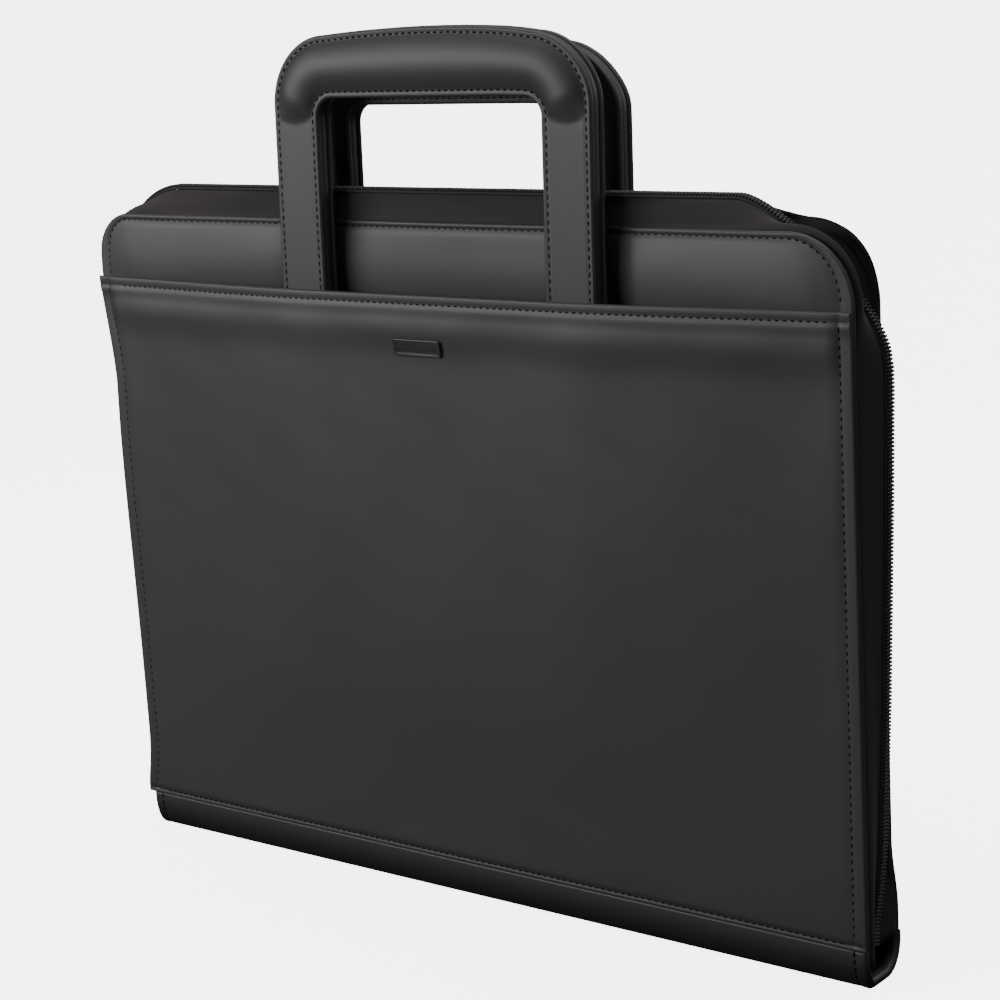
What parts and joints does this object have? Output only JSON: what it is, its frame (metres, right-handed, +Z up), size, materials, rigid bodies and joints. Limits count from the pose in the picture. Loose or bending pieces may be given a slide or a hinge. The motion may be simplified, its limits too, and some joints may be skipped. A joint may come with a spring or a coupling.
{
  "type": "leather document case",
  "caption": "Slim black leather document case closed by a coil zip on three sides, with outer pockets and flat padded handles that slide up out of them. It stands on its spine.",
  "frame": {"origin": "middle of the base, on the surface the case stands on", "axes": "+X to the right along the case, front towards -Y, +Z up"},
  "size_m": [0.3588, 0.0338, 0.3369],
  "materials": {
    "leather": "smooth black, semi-matte",
    "nylon": "olive-black twill",
    "core": "matte black board, hidden",
    "coil": "black coil",
    "metal": "dark satin"
  },
  "bodies": {
    "case": {"front_cover": "leather", "back_cover": "leather", "front_pocket": "leather", "back_pocket": "leather", "spine": "leather", "front_gusset": "nylon", "back_gusset": "nylon", "zip_coil": "coil", "zip_slider": "metal", "badge_plate": "metal"},
    "front_handle": {"front_handle_face": "leather", "front_handle_core": "core", "front_handle_lining": "leather"},
    "back_handle": {"back_handle_face": "leather", "back_handle_core": "core", "back_handle_lining": "leather"}
  },
  "joints": [
    {"name": "front_handle_slide", "type": "slide", "parent": "case", "child": "front_handle", "axis": [0, 0, 1], "range_m": [-0.058, 0]},
    {"name": "back_handle_slide", "type": "slide", "parent": "case", "child": "back_handle", "axis": [0, 0, 1], "range_m": [-0.054, 0.004]}
  ]
}
